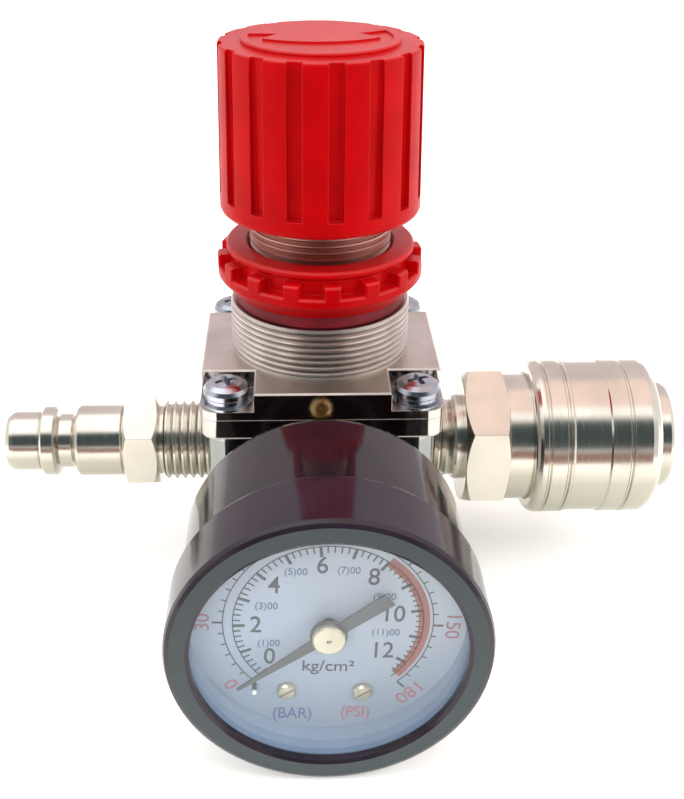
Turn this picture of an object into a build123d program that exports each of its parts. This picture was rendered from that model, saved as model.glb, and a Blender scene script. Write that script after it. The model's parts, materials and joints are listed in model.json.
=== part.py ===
from build123d import *
import os
from math import cos, radians, sin, sqrt, tan

# Air pressure regulator with a knob, a pressure gauge, an inlet plug and an outlet quick coupling.
# Millimetres. The origin is on the knob axis in the top face of the bonnet plate. +Z runs up the
# knob axis, +X towards the quick coupling, and the gauge faces -Y.

os.makedirs("parts", exist_ok=True)

# ---------------------------------------------------------------- driving dimensions
port_z = -18.4                # height of the inlet, outlet and gauge axis
fit_gap = 0.08                # radial gap of a running fit
seat_gap = 0.05               # gap between two faces that rest on each other

plate_size = 36.6             # square bonnet plate and body flange
plate_corner = 2.6            # upright corners of the plate and the flange
seam_z = -4.4                 # joint between bonnet and body
pad_top = -3.0                # screw pads, below the raised cross
cross_half_x = 10.2           # half width of the arm that runs front to back
cross_half_y = 10.6           # half width of the arm that runs side to side
flange_bottom = -7.85

panel_neck_radius = 13.96     # M28 x 1
panel_neck_top = 7.97
knob_neck_radius = 10.76      # M21.5 x 1
knob_neck_top = 37.5
neck_pitch = 1.0
chamber_radius = 8.8          # spring chamber in the neck

knob_bottom = 22.4
knob_shoulder = 46.7
knob_top = 47.3
knob_radius_bottom = 15.04
knob_radius_top = 14.6
flute_count = 16
flute_width = 2.2
flute_depth = 1.1
flute_bottom = 24.95
flute_turn = 7.1              # one groove stands this many degrees right of the front

ring_bottom = 10.05
ring_top = 17.3
ring_radius = 15.7
lug_count = 16
lug_width = 2.4
lug_top = 15.6
lug_turn = 5.3

screw_x = 14.3
screw_y = 14.6
screw_head_radius = 3.45
screw_shank_radius = 1.95

body_half = 17.5              # lower block of the body, a little inside the flange
body_corner = 3.4
body_bottom = -31.0
port_face = 18.0
port_boss_radius = 9.8
port_hole_radius = 6.6
port_hole_end = 10.0

inch_quarter_radius = 6.58    # G1/4 male thread
inch_quarter_pitch = 1.337
inch_eighth_radius = 4.86     # G1/8 male thread
inch_eighth_pitch = 0.907

hex_turn = -1.0               # a corner of each hexagon points forward and up by 31 degrees
plug_tip = 51.5               # Euro 7.2 plug, measured from the knob axis
plug_nose_radius = 4.9
plug_bore_radius = 2.9

barrel_radius = 8.97
barrel_end = 57.8
socket_radius = 6.0
socket_relief = 0.5           # the bore is this much wider round the balls
mouth_start = 52.1            # guiding bore from here out to the mouth
sleeve_radius = 12.88
sleeve_start = 34.4
sleeve_end = 55.0
ball_radius = 2.2
ball_x = 49.5
ball_locked_radius = 6.78     # ball centre from the coupling axis, sleeve forward
ball_travel = 1.5
sleeve_travel = 3.5

case_radius = 19.9
case_back = 27.0              # distances of the gauge run forward from the knob axis
bezel_radius = 21.17
bezel_front = 54.74
bezel_back = 43.9
lens_opening = 17.8
dial_radius = 18.5
dial_front = 47.1
pointer_plane = 49.3
dial_turn = -2.3              # the dial sits turned clockwise in its case
dial_screw_x = 5.2
dial_screw_y = -11.5
pointer_rest = -143.5         # pointer angle at zero pressure, from +X towards +Z
stop_pin_radius = 14.24
stop_pin_angle = -134.3

holder_size = 9.6             # square block of the gauge socket inside the case
case_screw_offset = 11.4      # case screws above and below the gauge axis

gear_module = 0.25
pinion_teeth = 10
sector_teeth = 80             # teeth of the full circle that the sector is cut from


# ---------------------------------------------------------------- shape helpers
def turned(points):
    """Solid of revolution about Z from (height, radius) corners."""
    outline = Polyline(*[(radius, 0, height) for height, radius in points], close=True)
    return revolve(make_face(outline), axis=Axis.Z)


def rod(radius, low, high):
    """Round bar about Z."""
    return Pos(0, 0, (low + high) / 2) * Cylinder(radius, high - low)


def pipe(outer, inner, low, high):
    """Round tube about Z."""
    return rod(outer, low, high) - rod(inner, low - 1, high + 1)


def block(x_size, y_size, low, high):
    """Rectangular block about Z."""
    return Pos(0, 0, (low + high) / 2) * Box(x_size, y_size, high - low)


def rounded_block(x_size, y_size, corner, low, high):
    """Rectangular block about Z with rounded upright corners."""
    return extrude(Pos(0, 0, low) * RectangleRounded(x_size, y_size, corner), amount=high - low)


def hexagon(across_flats, low, high, chamfer_depth, turn=0.0):
    """Hexagonal bar about Z, its corners turned off at 30 degrees at both ends."""
    corner_radius = across_flats / sqrt(3)
    prism = extrude(Pos(0, 0, low) * RegularPolygon(corner_radius, 6), amount=high - low)
    face_radius = corner_radius - chamfer_depth / tan(radians(30))
    envelope = turned([
        (low, 0), (low, face_radius), (low + chamfer_depth, corner_radius + 0.01),
        (high - chamfer_depth, corner_radius + 0.01), (high, face_radius), (high, 0),
    ])
    return Rot(0, 0, turn) * (prism & envelope)


def thread_points(radius, pitch, low, high):
    """Corners of a threaded outside, from low to high, as rings of V shape."""
    depth = 0.55 * pitch
    crest = 0.22 * pitch
    flank = 0.36 * pitch
    turns = int((high - low - depth) / pitch)
    start = low + depth / 2
    points = [(low, radius - depth / 2)]
    for turn in range(turns):
        base = start + turn * pitch
        points += [(base, radius), (base + crest, radius)]
        points += [(base + crest + flank, radius - depth)]
    points += [(start + turns * pitch, radius), (high, radius - depth / 2)]
    return points


def threaded_rod(radius, pitch, low, high):
    """Threaded bar about Z."""
    return turned([(low, 0)] + thread_points(radius, pitch, low, high) + [(high, 0)])


def coil(mean_radius, wire_radius, low, high, turns):
    """Compression spring about Z between two flat seats, its wire ends ground to the seats."""
    rise = high - low - 2 * wire_radius
    path = Helix(pitch=rise / turns, height=rise, radius=mean_radius)
    section = Plane(origin=path @ 0, z_dir=path % 0) * Circle(wire_radius)
    return Pos(0, 0, low + wire_radius) * sweep(section, path=path, is_frenet=True)


def along_x(shape):
    """Turn a shape made about Z to the port axis, its height running along +X."""
    return Pos(0, 0, port_z) * Rot(0, 90, 0) * shape


def along_minus_y(shape):
    """Turn a shape made about Z to the gauge axis, its height running along -Y."""
    return Pos(0, 0, port_z) * Rot(90, 0, 0) * shape


def around(shape, count, turn=0.0):
    """Copies of a shape evenly spaced about Z."""
    return [Rot(0, 0, turn + 360 / count * index) * shape for index in range(count)]


def at_screws(shape):
    """Copies of a shape at the four bonnet screws."""
    return [Pos(x, y, 0) * shape for x in (-screw_x, screw_x) for y in (-screw_y, screw_y)]


def at_dial_screws(shape):
    """Copies of a shape at the two dial screws, on the gauge axis turned up to +Z."""
    turn = Rot(0, 0, dial_turn)
    return [turn * Pos(x, dial_screw_y, 0) * shape for x in (-dial_screw_x, dial_screw_x)]


def keep(shape, node):
    """Write one sub-part."""
    if isinstance(shape, (list, tuple)):
        shape = Compound(children=list(shape))
    shape.label = node
    export_step(shape, f"parts/{node}.step")


# ---------------------------------------------------------------- knob group
def arrow_plan():
    """Crescent with a broad head at each end, the turning arrow sunk in the knob's crown."""
    left_end, left_barb, left_neck = (-10.2, 1.4), (-6.1, 1.4), (-8.2, -1.9)
    right_end, right_barb, right_neck = (9.4, 4.2), (5.6, 2.0), (8.3, -0.7)
    outline = [
        Line(left_end, left_barb), Line(left_barb, left_neck),
        ThreePointArc(left_neck, (0, -3.9), right_neck),
        Line(right_neck, right_barb), Line(right_barb, right_end),
        ThreePointArc(right_end, (0, -10.3), left_end),
    ]
    return make_face(Curve() + outline)


def make_knob():
    """Hollow red cap with upright flutes, an inner thread sleeve and a centre post."""
    rim_round = 0.35
    envelope = turned([
        (knob_bottom, 0), (knob_bottom, knob_radius_bottom - 0.7),
        (knob_bottom + 0.25, knob_radius_bottom - 0.2), (knob_bottom + 0.7, knob_radius_bottom),
        (knob_shoulder - rim_round, knob_radius_top),
        (knob_shoulder - 0.1, knob_radius_top - 0.1),
        (knob_shoulder, knob_radius_top - rim_round), (knob_shoulder, 0),
    ])
    groove = Pos(knob_radius_bottom, 0) * RectangleRounded(2 * flute_depth, flute_width, 0.3)
    section = Circle(knob_radius_bottom + 1) - around(groove, flute_count, flute_turn - 90)
    ribbed = extrude(Pos(0, 0, flute_bottom) * section, amount=knob_top - flute_bottom)
    lip = rod(knob_radius_bottom + 1, knob_bottom - 1, flute_bottom)
    outside = envelope & (ribbed + lip)
    crown = turned([
        (knob_shoulder - 0.5, 0), (knob_shoulder - 0.5, 11.4), (knob_top - 0.2, 11.4),
        (knob_top, 11.2), (knob_top, 0),
    ])
    crown -= extrude(Pos(0, 0, knob_top - 0.3) * arrow_plan(), amount=1)
    mouth = rod(12.4, knob_bottom - 1, 29.0)
    bore = rod(knob_neck_radius + fit_gap, 28.0, 42.0)
    post = rod(4.2, 33.0, 43.0)
    pin_hole = rod(2.02, 32.0, 40.0)
    return outside + crown - mouth - bore + post - pin_hole


def make_thrust_pin():
    """Steel pin pressed into the knob post; its rounded tip pushes the spring button."""
    return turned([
        (40.0, 0), (40.0, 2.0), (31.6, 2.0), (31.1, 1.7), (30.9, 1.1),
        (30.8 + seat_gap, 0.4), (30.8 + seat_gap, 0),
    ])


def make_spring_button():
    """Upper seat of the main spring."""
    return turned([
        (26.6, 0), (26.6, 3.9), (27.0, 4.4), (28.5, 4.4), (28.5, 8.0), (28.7, 8.2),
        (30.4, 8.2), (30.8, 7.6), (30.8, 0),
    ])


def make_lock_ring():
    """Red jam nut: a top flange, a row of upright grip lugs and a tapered skirt."""
    bore = knob_neck_radius + fit_gap
    core = turned([
        (ring_bottom, bore), (ring_bottom, 13.7), (ring_bottom + 0.5, 14.1),
        (12.1, ring_radius - 0.2), (12.4, ring_radius), (13.4, ring_radius),
        (13.7, ring_radius - 0.3), (13.7, 13.7), (15.9, 13.6), (16.2, 14.05), (16.5, 14.33),
        (ring_top - 0.35, 14.33), (ring_top, 14.0), (ring_top, bore + 0.5), (ring_top - 0.5, bore),
    ])
    lug_low = 13.3
    lug_plan = Pos(14.5, 0, lug_low) * RectangleRounded(2 * (ring_radius - 14.5), lug_width, 0.35)
    lug = extrude(lug_plan, amount=lug_top - lug_low)
    cap = turned([
        (13.0, 0), (13.0, 20), (lug_top - 0.3, 20), (lug_top - 0.3, ring_radius),
        (lug_top, ring_radius - 0.3), (lug_top, 0),
    ])
    return core + around(lug & cap, lug_count, lug_turn - 90)


def make_lock_washer():
    """Dark red fibre washer that rides up and down under the lock ring."""
    bore = knob_neck_radius + fit_gap
    low = panel_neck_top + seat_gap
    high = ring_bottom - seat_gap
    return turned([
        (low, bore), (low, 13.0), (low + 0.2, 13.2), (high - 0.2, 13.2), (high, 13.0), (high, bore),
    ])


# ---------------------------------------------------------------- bonnet group
def make_bonnet():
    """Square plate with a raised cross and a stepped threaded neck that holds the main spring."""
    pads = rounded_block(plate_size, plate_size, plate_corner, seam_z, pad_top)
    arm_y = block(2 * cross_half_x, plate_size, seam_z, 0)
    arm_x = block(plate_size, 2 * cross_half_y, seam_z, 0)
    cross = arm_x + arm_y
    top_edges = cross.faces().sort_by(Axis.Z)[-1].edges()
    cross = chamfer(top_edges, 0.25)
    shoulder_top = 0.3
    neck = turned(
        [(seam_z, 0), (seam_z, panel_neck_radius), (shoulder_top, panel_neck_radius)]
        + thread_points(panel_neck_radius, neck_pitch, shoulder_top, panel_neck_top)
        + [(panel_neck_top, knob_neck_radius - 0.3)]
        + thread_points(knob_neck_radius, neck_pitch, panel_neck_top + 0.5, knob_neck_top)
        + [(knob_neck_top, 0)]
    )
    hollow = turned([
        (seam_z - 1, 0), (seam_z - 1, 12.6), (-1.2, 12.6), (0.8, chamber_radius + 1.5),
        (4.5, chamber_radius), (knob_neck_top + 1, chamber_radius), (knob_neck_top + 1, 0),
    ])
    return pads + cross + neck - hollow - at_screws(rod(2.15, seam_z - 1, 1))


def make_screws():
    """Four cross-recessed pan-head screws."""
    seat = pad_top + 0.4 + 0.9
    head = turned([
        (seat, 0), (seat, screw_head_radius - 0.15), (seat + 0.15, screw_head_radius),
        (seat + 0.9, screw_head_radius), (seat + 1.5, screw_head_radius - 0.35),
        (seat + 1.95, screw_head_radius - 1.1), (seat + 2.2, screw_head_radius - 2.2),
        (seat + 2.25, 0),
    ])
    shank = threaded_rod(screw_shank_radius, 0.7, -12.6, seat + 0.3)
    wing = loft([
        Pos(0, 0, seat + 2.4) * Rectangle(3.9, 0.85),
        Pos(0, 0, seat + 0.9) * Rectangle(1.7, 0.55),
    ])
    screw = head + shank - wing - Rot(0, 0, 90) * wing
    return at_screws(Rot(0, 0, 22) * screw)


def make_spring_washers():
    """Four split spring washers."""
    low = pad_top + 0.4
    split = Pos(2.7, 0, low + 0.4) * Rot(35, 0, 0) * Box(2.5, 0.5, 3)
    washer = pipe(3.3, 2.1, low + 0.02, low + 0.88) - split
    return at_screws(Rot(0, 0, 200) * washer)


def make_flat_washers():
    """Four flat washers on the pads."""
    return at_screws(pipe(3.85, 2.1, pad_top + 0.01, pad_top + 0.4))


def make_main_spring():
    """Coil spring between the button and the diaphragm plate."""
    return coil(6.6, 1.1, -3.2, 28.5, 8)


# ---------------------------------------------------------------- diaphragm group
def make_diaphragm():
    """Rubber disc clamped between bonnet and body, with a rolled ring near its rim."""
    return turned([
        (-5.4, 1.65), (-5.4, 11.4), (-6.1, 12.2), (-5.5, 13.2), (-5.8, 13.6), (-5.8, 15.4),
        (seam_z, 15.4), (seam_z, 13.0), (-5.0, 12.2), (seam_z, 11.4), (seam_z, 1.65),
    ])


def make_diaphragm_plate():
    """Lower seat of the main spring."""
    return turned([
        (seam_z, 1.65), (seam_z, 10.8), (-4.1, 11.0), (-3.2, 11.0), (-3.2, 4.6), (-1.8, 4.6),
        (-1.4, 4.2), (-1.4, 1.65),
    ])


def make_diaphragm_hub():
    """Brass rivet through diaphragm and plate; the valve stem pushes on its foot."""
    return turned([
        (-6.3, 0), (-6.3, 3.0), (-6.1, 3.2), (-5.42, 3.2), (-5.42, 1.6), (-1.38, 1.6),
        (-1.38, 2.6), (-0.9, 2.3), (-0.6, 0),
    ])


# ---------------------------------------------------------------- body group
def make_regulator_body():
    """Chromed casting with four ports, a flange on top and a valve chamber open at the bottom."""
    flange = rounded_block(plate_size, plate_size, plate_corner, flange_bottom, seam_z)
    flange = fillet(flange.faces().sort_by(Axis.Z)[0].edges(), 0.7)
    core = rounded_block(2 * body_half, 2 * body_half, body_corner, -28.2, flange_bottom + 0.5)
    core = fillet(core.faces().sort_by(Axis.Z)[0].edges(), 1.6)
    foot = turned([(body_bottom, 0), (body_bottom, 12.6), (-30.6, 13.0), (-27.5, 14.6), (-27.5, 0)])
    boss = turned([
        (-port_face, 0), (-port_face, port_boss_radius - 0.5),
        (-port_face + 0.5, port_boss_radius), (port_face - 0.5, port_boss_radius),
        (port_face, port_boss_radius - 0.5), (port_face, 0),
    ])
    casting = flange + core + foot + along_x(boss) + along_minus_y(boss)
    chambers = turned([
        (body_bottom - 1, 0), (body_bottom - 1, 11.25), (-29.7, 11.25), (-29.7, 9.55),
        (-25.0, 9.55), (-25.0, 7.0), (-20.0, 7.0), (-20.0, 4.02), (-17.0, 4.02), (-17.0, 3.2),
        (-16.0, 3.2), (-16.0, 4.5), (-8.6, 4.5), (-8.6, 13.0), (-5.85, 13.0), (-5.85, 15.5),
        (seam_z + 1, 15.5), (seam_z + 1, 0),
    ])
    side_hole = turned([
        (port_hole_end, 0), (port_hole_end, 5.9), (port_hole_end + 0.7, port_hole_radius),
        (port_face + 1, port_hole_radius), (port_face + 1, 0),
    ])
    gauge_hole = rod(inch_eighth_radius + 0.03, port_hole_end, port_face + 1)
    casting -= chambers
    casting -= [along_x(side_hole), along_x(Rot(0, 180, 0) * side_hole)]
    casting -= [along_minus_y(gauge_hole), along_minus_y(Rot(0, 180, 0) * gauge_hole)]
    high_passage = Pos(0, 0, 3.4) * Rot(0, 90, 0) * rod(2.2, 3, 12)
    low_passage = Pos(0, 0, -3.4) * Rot(0, -90, 0) * rod(2.2, 5, 12)
    front_passage = Pos(0, 0, 2.2) * Rot(90, 0, 0) * rod(1.2, 3, 12)
    rear_passage = Pos(0, 0, 2.2) * Rot(-90, 0, 0) * rod(1.2, 3, 12)
    for passage in (high_passage, low_passage, front_passage, rear_passage):
        casting -= Pos(0, 0, port_z) * passage
    return casting - at_screws(rod(screw_shank_radius + 0.05, -13.0, seam_z + 1))


def make_valve_seat():
    """Brass seat ring pressed into the body; its lower lip is the seat."""
    return turned([
        (-17.03, 2.3), (-17.03, 4.0), (-20.0, 4.0), (-20.8, 3.1), (-20.8, 2.5), (-20.5, 2.3),
    ])


def make_valve_poppet():
    """Brass valve: a head under the seat, a push stem above and a guide stem below."""
    return turned([
        (-30.2, 0), (-30.2, 1.2), (-29.9, 1.5), (-24.0, 1.5), (-24.0, 2.6), (-24.6, 2.6),
        (-24.6, 3.0), (-23.9, 3.0), (-23.9, 5.2), (-21.9, 5.2), (-21.9, 1.6), (-20.9, 1.6),
        (-20.0, 1.0), (-6.35 - 0.3, 1.0), (-6.35, 0.7), (-6.35, 0),
    ])


def make_poppet_seal():
    """Rubber ring on the poppet head that closes against the seat."""
    return turned([(-21.88, 1.62), (-21.88, 5.2), (-20.95, 5.0), (-20.82, 4.7), (-20.82, 1.62)])


def make_valve_spring():
    """Coil spring that closes the poppet."""
    return coil(4.1, 0.4, -30.5, -23.92, 6)


def make_bottom_cap():
    """Hexagonal cap that closes the valve chamber and guides the poppet stem."""
    head = hexagon(22.0, -37.5, -31.2, 0.8)
    stem = threaded_rod(9.5, neck_pitch, -31.5, -26.0)
    pocket = turned([
        (-30.5, 0), (-30.5, 6.2), (-27.5, 6.2), (-26.2, 7.0), (-25.0, 7.0), (-25.0, 0),
    ])
    dimple = turned([(-37.6, 0), (-37.6, 5.5), (-37.1, 5.1), (-37.1, 0)])
    guide = rod(1.5 + fit_gap, -34.0, -30.0)
    return head + stem - pocket - dimple - guide


def make_cap_o_ring():
    """O-ring under the bottom cap."""
    return Pos(0, 0, -30.46) * Torus(10.38, 0.72)


def make_port_plug():
    """Blanking plug in the rear port, with a hexagon socket."""
    thread = threaded_rod(inch_eighth_radius, inch_eighth_pitch, port_hole_end + 1, port_face + 0.2)
    head = turned([
        (port_face + 0.05, 0), (port_face + 0.05, 6.9), (port_face + 2.4, 6.9),
        (port_face + 3.0, 6.3), (port_face + 3.0, 0),
    ])
    socket = extrude(Pos(0, 0, port_face - 1.5) * RegularPolygon(2.9, 6), amount=6)
    return along_minus_y(Rot(0, 180, 0) * (head + thread - socket))


# ---------------------------------------------------------------- inlet plug
def make_inlet_plug():
    """Nickelled male plug with a locking neck, a hexagon and a G1/4 thread."""
    nose = turned([
        (-plug_tip, 0), (-plug_tip, 3.9), (-51.2, 4.45), (-50.6, 4.8), (-50.0, plug_nose_radius),
        (-46.1, plug_nose_radius), (-45.9, 4.75), (-45.6, 5.5), (-45.3, 5.75), (-43.5, 5.75),
        (-43.1, 5.3), (-42.7, 4.5), (-40.7, 4.5), (-40.3, 4.8), (-39.8, 5.75), (-39.4, 5.9),
        (-32.6, 5.9), (-32.3, 5.6), (-31.6, 5.6), (-31.6, 0),
    ])
    nut = hexagon(14.2, -32.0, -26.4, 0.75, turn=hex_turn)
    relief = rod(5.7, -26.6, -25.4)
    thread = threaded_rod(inch_quarter_radius, inch_quarter_pitch, -25.6, -port_hole_end - 0.9)
    bore = turned([
        (-plug_tip - 1, 0), (-plug_tip - 1, plug_bore_radius + 1.5),
        (-plug_tip + 0.6, plug_bore_radius), (-38.0, plug_bore_radius), (-37.4, 3.6),
        (-5, 3.6), (-5, 0),
    ])
    return along_x(nose + nut + relief + thread - bore)


# ---------------------------------------------------------------- quick coupling
def make_coupling_adapter():
    """Hexagonal rear half of the coupling with a G1/4 thread and a lip under the sleeve."""
    lip_end = sleeve_start + 0.9
    thread = threaded_rod(inch_quarter_radius, inch_quarter_pitch, port_hole_end + 0.9, 22.2)
    collar = turned([(21.6, 0), (21.9, 6.9), (22.3, 7.1), (23.6, 7.1), (23.6, 0)])
    nut = hexagon(21.2, 23.4, 31.4, 1.0, turn=hex_turn)
    trim = turned([(20, 0), (20, 14), (29.0, 14), (30.5, 10.6), (34.0, 10.6), (34.0, 0)])
    neck = turned([
        (29.0, 0), (29.0, 10.6), (lip_end - 0.15, 10.6), (lip_end, 10.45), (lip_end, 10.3),
        (34.0, 10.3), (34.0, 0),
    ])
    bore = turned([
        (5, 0), (5, 3.5), (27.8, 3.5), (27.8, 8.22), (36, 8.22), (36, 0),
    ])
    return along_x(thread + collar + (nut & trim) + neck - bore)


def make_coupling_barrel():
    """Socket of the coupling, with a guiding mouth and four ball holes in a wider bore behind it."""
    outside = turned([
        (28.0, 0), (28.0, 8.2), (34.05, 8.2), (34.05, barrel_radius), (53.2, barrel_radius),
        (53.2, 8.5), (54.4, 8.5), (54.4, barrel_radius), (barrel_end - 0.7, barrel_radius),
        (barrel_end - 0.2, barrel_radius - 0.2), (barrel_end, barrel_radius - 0.6),
        (barrel_end, 0),
    ])
    inside = turned([
        (27, 0), (27, 6.8), (38.0, 6.8), (38.0, 5.0), (42.9, 5.0), (42.9, 6.3), (44.5, 6.3),
        (44.5, 5.0), (45.2, 5.0), (45.3, socket_radius + socket_relief),
        (mouth_start - 0.1, socket_radius + socket_relief),
        (mouth_start, socket_radius), (barrel_end - 1.0, socket_radius),
        (barrel_end - 0.2, socket_radius + 0.9), (barrel_end + 1, socket_radius + 1.1),
        (barrel_end + 1, 0),
    ])
    ball_hole = Pos(0, 0, ball_x) * Rot(0, 90, 0) * rod(ball_radius + 0.06, 4.0, 11.0)
    return along_x(outside - inside - around(ball_hole, 4, 45))


def make_coupling_sleeve():
    """Grooved release sleeve; the cone inside lets the balls move out when it is drawn back."""
    slope = ball_travel / sleeve_travel
    ball_reach = ball_radius * sqrt(1 + slope ** 2)
    cone_base = ball_locked_radius + ball_reach + fit_gap
    inner = barrel_radius + fit_gap
    cone_start = ball_x + (inner - cone_base) / slope
    relief = cone_base + ball_travel
    cone_end = ball_x + sleeve_travel
    groove = 0.35
    outside = [
        (sleeve_start, 11.75), (sleeve_start + 0.12, 12.15), (sleeve_start + 0.45, 12.52),
        (sleeve_start + 0.95, 12.78), (sleeve_start + 1.5, sleeve_radius),
    ]
    for centre in (36.5, 39.6):
        outside += [(centre - 0.35, sleeve_radius), (centre - 0.12, sleeve_radius - groove)]
        outside += [(centre + 0.12, sleeve_radius - groove), (centre + 0.35, sleeve_radius)]
    outside += [(40.2, sleeve_radius), (40.5, sleeve_radius - 0.25)]
    outside += [(46.2, sleeve_radius - 0.25), (46.5, sleeve_radius)]
    outside += [(49.35, sleeve_radius), (49.6, sleeve_radius - groove)]
    outside += [(49.85, sleeve_radius - groove), (50.1, sleeve_radius)]
    outside += [(52.9, sleeve_radius), (53.7, sleeve_radius - 0.25), (54.4, sleeve_radius - 0.85)]
    outside += [(54.85, sleeve_radius - 1.5), (sleeve_end, sleeve_radius - 1.95)]
    inside = [
        (sleeve_end, relief), (cone_end, relief), (cone_start, inner), (43.0, inner),
        (43.0, 10.6 + 0.09), (sleeve_start, 10.6 + 0.09),
    ]
    return along_x(turned(outside + inside))


def make_snap_ring():
    """Open wire ring that stops the sleeve."""
    ring = pipe(10.45, 8.6, 53.3, 54.3)
    slot = Pos(9.5, 0, 53.8) * Box(4, 2.2, 3)
    return along_x(ring - slot)


def make_ball(index):
    """One locking ball at rest in its hole."""
    angle = 45 + 90 * index
    centre = Rot(0, 0, angle) * Pos(ball_locked_radius, 0, ball_x)
    return along_x(centre * Sphere(ball_radius))


def make_sleeve_spring():
    """Coil spring between the adapter and the sleeve."""
    return along_x(coil(9.86, 0.38, 34.08, 42.95, 4))


def make_coupler_valve():
    """Check valve pushed open by an inserted plug; its windowed nose lets the air through."""
    shape = turned([
        (34.6, 0), (34.6, 6.3), (37.35, 6.3), (37.35, 4.5), (42.3, 4.5), (42.6, 4.2), (42.6, 3.2),
        (38.2, 3.2), (37.4, 0),
    ])
    window = Pos(0, 0, 39.2) * Rot(0, 90, 0) * rod(1.1, 2.0, 6.0)
    return along_x(shape - around(window, 4, 0))


def make_coupler_face_seal():
    """Rubber ring on the check valve that closes against the barrel shoulder."""
    return along_x(pipe(6.2, 4.52, 37.37, 37.97))


def make_coupler_valve_spring():
    """Coil spring that closes the check valve."""
    return along_x(coil(4.9, 0.45, 27.85, 34.58, 5))


def make_coupler_seal():
    """Ring seal around the nose of an inserted plug."""
    return along_x(Pos(0, 0, 43.7) * Torus(5.56, 0.7))


# ---------------------------------------------------------------- pressure gauge
def make_gauge_case():
    """Black steel cup."""
    cup = turned([
        (case_back, 4.6), (case_back, case_radius - 1.8), (case_back + 0.25, case_radius - 0.9),
        (case_back + 0.9, case_radius - 0.25), (case_back + 1.8, case_radius),
        (46.8, case_radius), (46.8, case_radius - 0.8), (case_back + 2.0, case_radius - 0.8),
        (case_back + 0.9, case_radius - 1.9), (case_back + 0.9, 4.6),
    ])
    screw_hole = rod(0.85, case_back - 1, case_back + 2)
    holes = [Pos(0, y, 0) * screw_hole for y in (-case_screw_offset, case_screw_offset)]
    return along_minus_y(cup - holes)


def make_gauge_bezel():
    """Pressed ring that holds the lens on the case."""
    return along_minus_y(turned([
        (bezel_back, case_radius + 0.05), (bezel_back, 20.6), (bezel_back + 0.3, 20.95),
        (bezel_back + 0.9, bezel_radius), (bezel_front - 0.9, bezel_radius),
        (bezel_front - 0.3, bezel_radius - 0.25), (bezel_front, bezel_radius - 0.8),
        (bezel_front, lens_opening + 0.5), (bezel_front - 0.3, lens_opening),
        (bezel_front - 1.3, lens_opening), (bezel_front - 1.3, 19.75), (47.0, 19.75),
        (47.0, case_radius + 0.05),
    ]))


def make_gauge_lens():
    """Clear flat lens."""
    return along_minus_y(turned([
        (bezel_front - 2.8, 0), (bezel_front - 2.8, 19.5), (bezel_front - 1.35, 19.5),
        (bezel_front - 1.35, 0),
    ]))


def make_dial_spacer():
    """Pale ring between dial and lens."""
    return along_minus_y(pipe(19.0, dial_radius, dial_front - 0.6, bezel_front - 2.85))


def make_gauge_dial():
    """Thin printed dial with holes for the arbor and its two screws."""
    disc = rod(dial_radius - 0.05, dial_front - 0.5, dial_front)
    return along_minus_y(disc - rod(1.0, 40, 50) - at_dial_screws(rod(0.75, 40, 50)))


def make_dial_screws():
    """Two slotted cheese-head screws through the dial."""
    screw = turned([
        (43.6, 0), (43.6, 0.7), (dial_front + 0.02, 0.7), (dial_front + 0.02, 1.35),
        (dial_front + 0.6, 1.35), (dial_front + 0.85, 1.05), (dial_front + 0.85, 0),
    ])
    screw -= Pos(0, 0, dial_front + 0.9) * Rot(0, 0, 35) * Box(4, 0.3, 0.8)
    return [along_minus_y(placed) for placed in at_dial_screws(screw)]


def make_stop_pin():
    """Small pin that the pointer rests near at zero."""
    place = Rot(0, 0, stop_pin_angle) * Pos(stop_pin_radius, 0, 0)
    return along_minus_y(place * rod(0.3, dial_front + 0.01, dial_front + 1.8))


def make_pointer():
    """Dark pointer with a slim tip and a broad counterweight tail."""
    plan = Polyline(
        (15.1, 0.18), (2.2, 0.75), (-1.8, 0.85), (-9.7, 1.05), (-9.7, -1.05), (-1.8, -0.85),
        (2.2, -0.75), (15.1, -0.18), close=True,
    )
    blade = extrude(Pos(0, 0, pointer_plane) * make_face(plan), amount=0.3)
    disc = rod(2.45, pointer_plane, pointer_plane + 0.4)
    return along_minus_y(Rot(0, 0, pointer_rest) * (blade + disc - rod(0.62, 40, 60)))


def make_pointer_hub():
    """Brass boss pressed on the arbor."""
    back = pointer_plane + 0.42
    front = pointer_plane + 1.35
    return along_minus_y(turned([
        (back, 0.62), (back, 2.22), (front - 0.2, 2.22), (front, 2.02), (front, 0.32),
        (front - 0.25, 0.32), (front - 0.25, 0.62),
    ]))


def gear_disc(teeth, low, high):
    """Spur gear about Z with straight-sided teeth."""
    pitch_radius = gear_module * teeth / 2
    tip = pitch_radius + 0.85 * gear_module
    root = pitch_radius - 1.15 * gear_module
    step = radians(360 / teeth)
    corners = []
    for tooth in range(teeth):
        middle = tooth * step
        for radius, offset in ((root, -0.30), (tip, -0.10), (tip, 0.10), (root, 0.30)):
            angle = middle + offset * step
            corners.append((radius * cos(angle), radius * sin(angle)))
    plan = make_face(Polyline(*corners, close=True))
    return extrude(Pos(0, 0, low) * plan, amount=high - low)


def make_pointer_arbor():
    """Steel arbor with the ten-tooth pinion."""
    pinion = Rot(0, 0, -90) * gear_disc(pinion_teeth, 42.4, 44.4)
    end = pointer_plane + 1.08
    shaft = turned([(40.4, 0), (40.4, 0.5), (42.0, 0.5), (42.0, 0.6), (end, 0.6), (end, 0)])
    return along_minus_y(pinion + shaft)


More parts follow.
